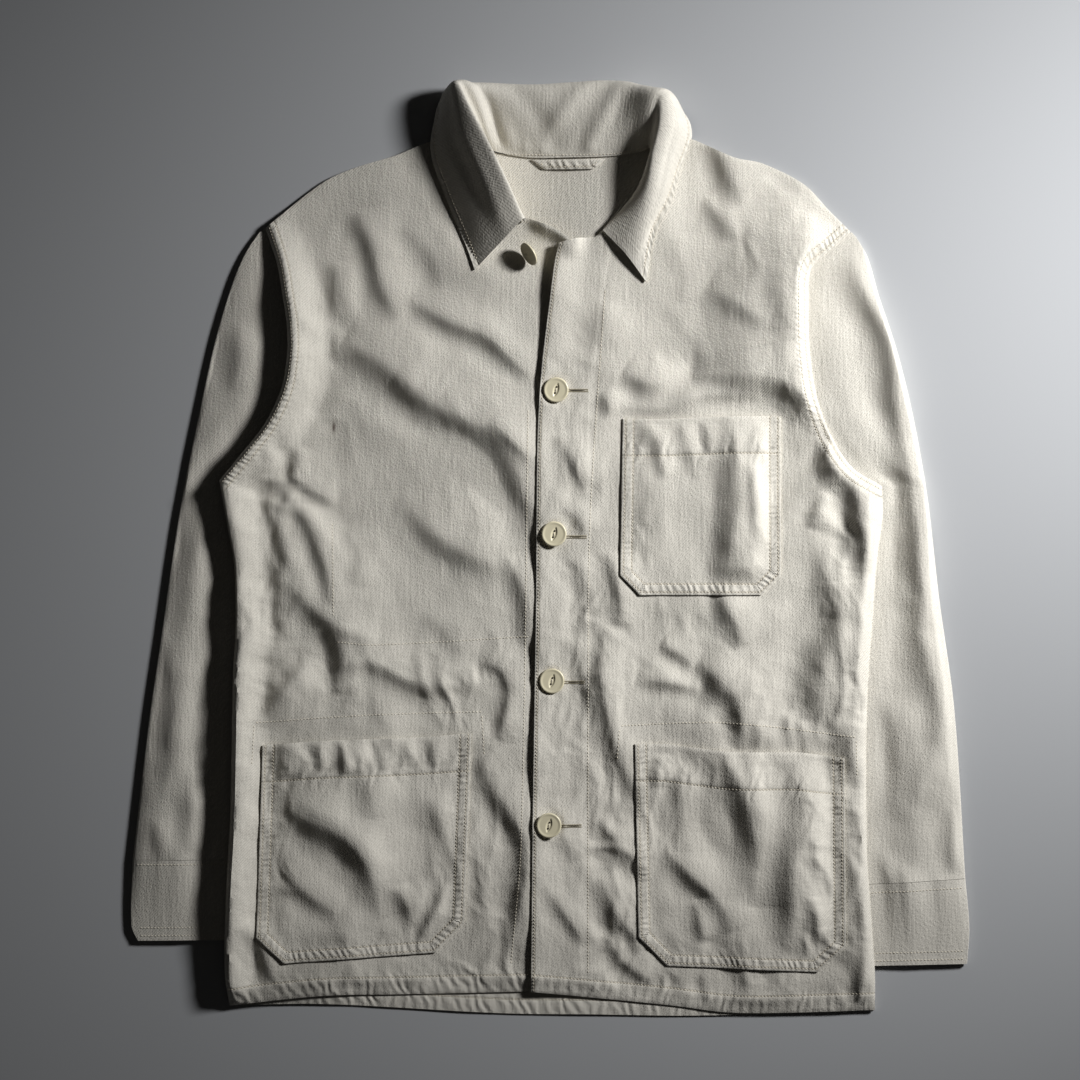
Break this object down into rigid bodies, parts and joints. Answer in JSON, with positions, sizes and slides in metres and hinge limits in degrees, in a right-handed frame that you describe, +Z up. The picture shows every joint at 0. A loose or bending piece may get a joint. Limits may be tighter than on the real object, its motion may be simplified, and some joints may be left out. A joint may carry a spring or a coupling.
{
  "type": "chore jacket",
  "caption": "Buttoned cotton twill chore jacket laid flat, with a turned-down collar, patch pockets on chest and hips, and sleeves straight down beside the body.",
  "frame": {"origin": "centre of the footprint, on the surface that the jacket lies on", "axes": "+Y from hem to collar, +Z up off the surface, +X towards the wearer's left sleeve"},
  "size_m": [0.7255, 0.8082, 0.0411],
  "materials": {
    "cloth": "matte ecru cotton twill",
    "button": "polished cream resin"
  },
  "bodies": {
    "root": {"back": "cloth", "front_right": "cloth", "front_left": "cloth", "sleeve_right": "cloth", "sleeve_left": "cloth", "cuff_right": "cloth", "cuff_left": "cloth", "collar": "cloth", "pocket_chest": "cloth", "pocket_hip_right": "cloth", "pocket_hip_left": "cloth", "hanger_loop": "cloth", "button_1": "button", "button_2": "button", "button_3": "button", "button_4": "button", "button_5": "button"}
  },
  "joints": []
}
